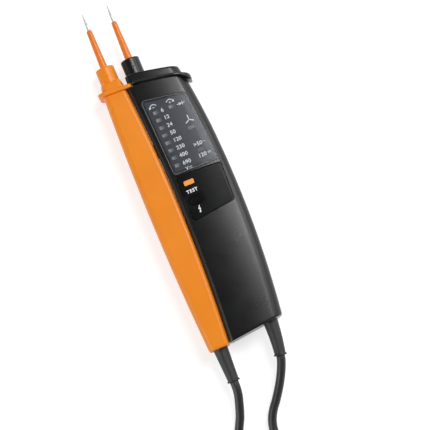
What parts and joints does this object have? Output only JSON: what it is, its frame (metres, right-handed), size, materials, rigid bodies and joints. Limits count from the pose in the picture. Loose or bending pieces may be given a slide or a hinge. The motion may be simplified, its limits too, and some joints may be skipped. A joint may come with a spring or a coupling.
{
  "type": "two-pole voltage tester",
  "caption": "Voltage tester of a display handle and a probe handle clipped side by side, each with a hand guard and a sleeved probe, joined by a lead.",
  "frame": {"origin": "middle of the tester's footprint on the surface it lies on, measured without the lead", "axes": "+Y along the handles towards the probe tips, +Z out of the front with the display window, +X towards the display handle's outer side"},
  "size_m": [0.1044, 0.4343, 0.0306],
  "materials": {
    "black_housing": "fine moulded texture",
    "orange_housing": "fine moulded texture",
    "clear_window": "clear, polished",
    "mask_plastic": "printed",
    "light_lens": "milky",
    "board_laminate": "solder mask",
    "component_black": "moulded",
    "resistor_body": "lacquered",
    "contact_brass": "plain",
    "panel_plastic": "smooth",
    "key_rubber": "matt",
    "signal_orange": "translucent",
    "cell_jacket": "printed jacket",
    "spring_steel": "nickel plated",
    "screw_steel": "zinc plated",
    "pin_steel": "nickel plated",
    "sleeve_plastic": "smooth",
    "relief_rubber": "matt",
    "lead_sheath": "smooth",
    "wire_sheath": "smooth"
  },
  "bodies": {
    "display_handle": {"display_front_shell": "black_housing", "display_back_shell": "black_housing", "display_window": "clear_window", "light_mask": "mask_plastic", "indicator_lights": "light_lens", "circuit_board": "board_laminate", "controller_chip": "component_black", "protection_resistors": "resistor_body", "buzzer": "component_black", "display_pin_clamp": "contact_brass", "key_panel": "panel_plastic", "key_switch": "component_black", "signal_lens": "signal_orange", "batteries": "cell_jacket", "battery_contacts": "spring_steel", "battery_cover": "black_housing", "battery_screw": "screw_steel", "display_screws": "screw_steel", "display_pin": "pin_steel", "display_sleeve": "sleeve_plastic", "display_relief": "relief_rubber", "lead_probe_run": "lead_sheath", "lead_coil": "lead_sheath", "lead_display_run": "lead_sheath"},
    "probe_handle": {"probe_front_shell": "orange_housing", "probe_back_shell": "orange_housing", "probe_pin": "pin_steel", "probe_sleeve": "sleeve_plastic", "probe_resistors": "resistor_body", "probe_wire": "wire_sheath", "probe_screws": "screw_steel", "probe_relief": "relief_rubber"},
    "test_key": {"test_key": "key_rubber"}
  },
  "joints": [
    {"name": "probe_handle_slide", "type": "slide", "parent": "display_handle", "child": "probe_handle", "axis": [-1, 0, 0], "range_m": [0, 0.03], "deforming": ["lead_probe_run"]},
    {"name": "test_key_press", "type": "slide", "parent": "display_handle", "child": "test_key", "axis": [0, 0, -1], "range_m": [0, 0.0008], "stiffness_N_per_m": 1500, "springref_m": -0.0006}
  ]
}
